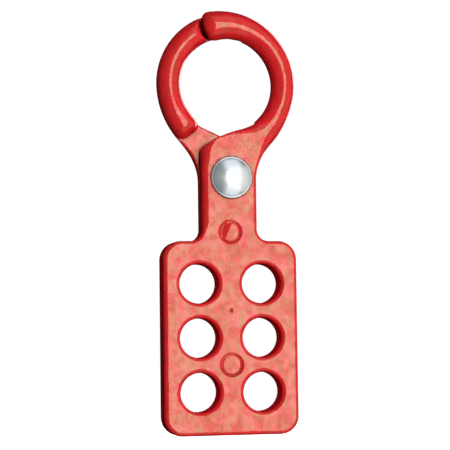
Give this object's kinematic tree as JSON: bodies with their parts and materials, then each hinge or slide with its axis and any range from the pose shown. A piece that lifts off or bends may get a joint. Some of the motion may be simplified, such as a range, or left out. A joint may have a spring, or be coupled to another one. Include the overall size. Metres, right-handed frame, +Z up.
{
  "type": "lockout hasp",
  "caption": "Red-coated safety lockout hasp: two riveted castings whose round jaw opens like scissors, with padlock holes through both plates.",
  "frame": {"origin": "centre of the closed jaw, in the seam plane between the two halves", "axes": "+Z up along the hasp from plate to jaw, +X to the right seen from the front, -Y out of the front face with the rivet's domed head"},
  "size_m": [0.0392, 0.0106, 0.1155],
  "materials": {
    "coating": "glossy red coating on die-cast aluminium",
    "rivet": "bright zinc-plated steel"
  },
  "bodies": {
    "front": {"front_half": "coating", "pivot_rivet": "rivet"},
    "rear": {"rear_half": "coating"}
  },
  "joints": [
    {"name": "jaw_pivot", "type": "hinge", "parent": "front", "child": "rear", "pos_m": [0, 0, -0.0262], "axis": [0, -1, 0], "range_deg": [0, 90]}
  ]
}
